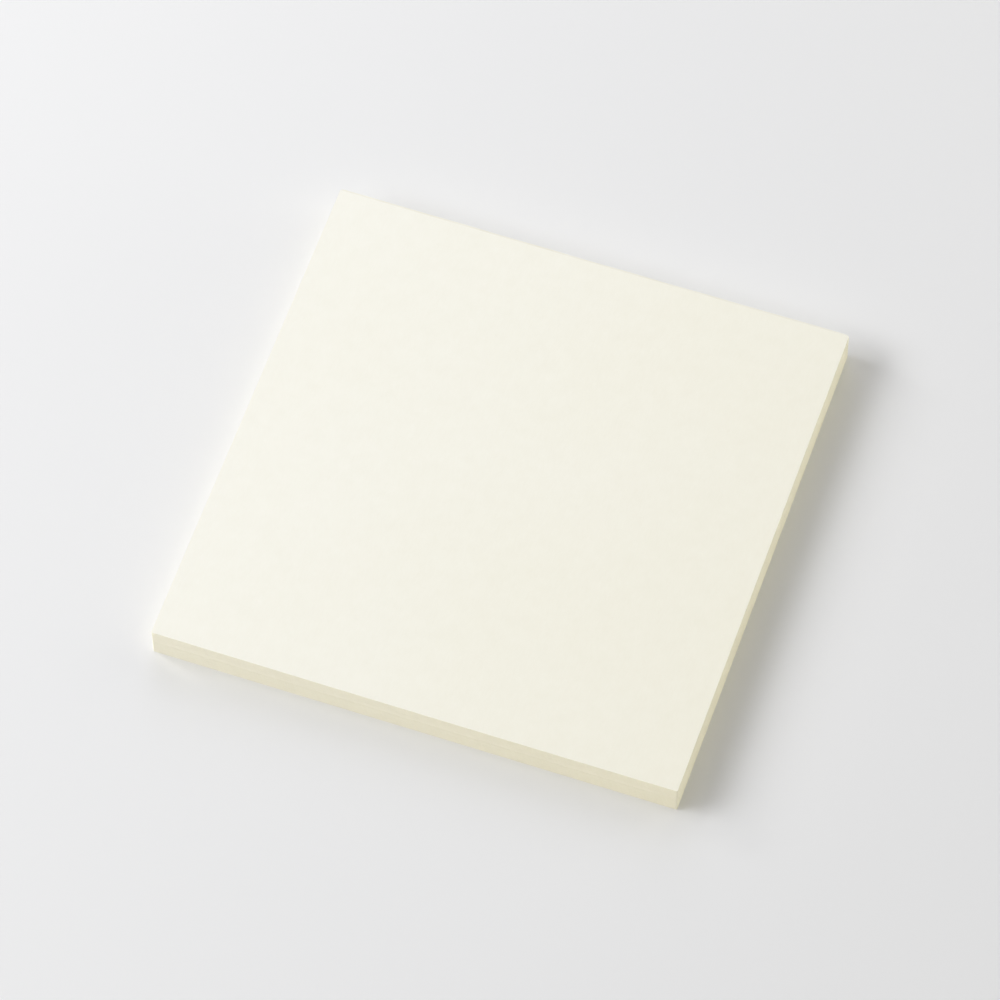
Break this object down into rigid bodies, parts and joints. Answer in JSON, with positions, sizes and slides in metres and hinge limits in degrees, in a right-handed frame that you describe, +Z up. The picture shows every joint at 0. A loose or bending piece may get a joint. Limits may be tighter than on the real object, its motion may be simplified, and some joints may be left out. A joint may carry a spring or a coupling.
{
  "type": "square note pad",
  "caption": "Square glued pad of blank cream note paper, no cover, sharp trimmed sides, held by a glue film along its back edge.",
  "frame": {"origin": "middle of the underside of the whole pad, glue film included", "axes": "+Z up through the sheets, +Y towards the glued back edge, +X to the right along the front edge"},
  "size_m": [0.1, 0.1002, 0.007],
  "materials": {
    "paper": "matte",
    "padding_glue": "satin"
  },
  "bodies": {
    "root": {"paper_sheets": "paper", "glue_binding": "padding_glue"}
  },
  "joints": []
}
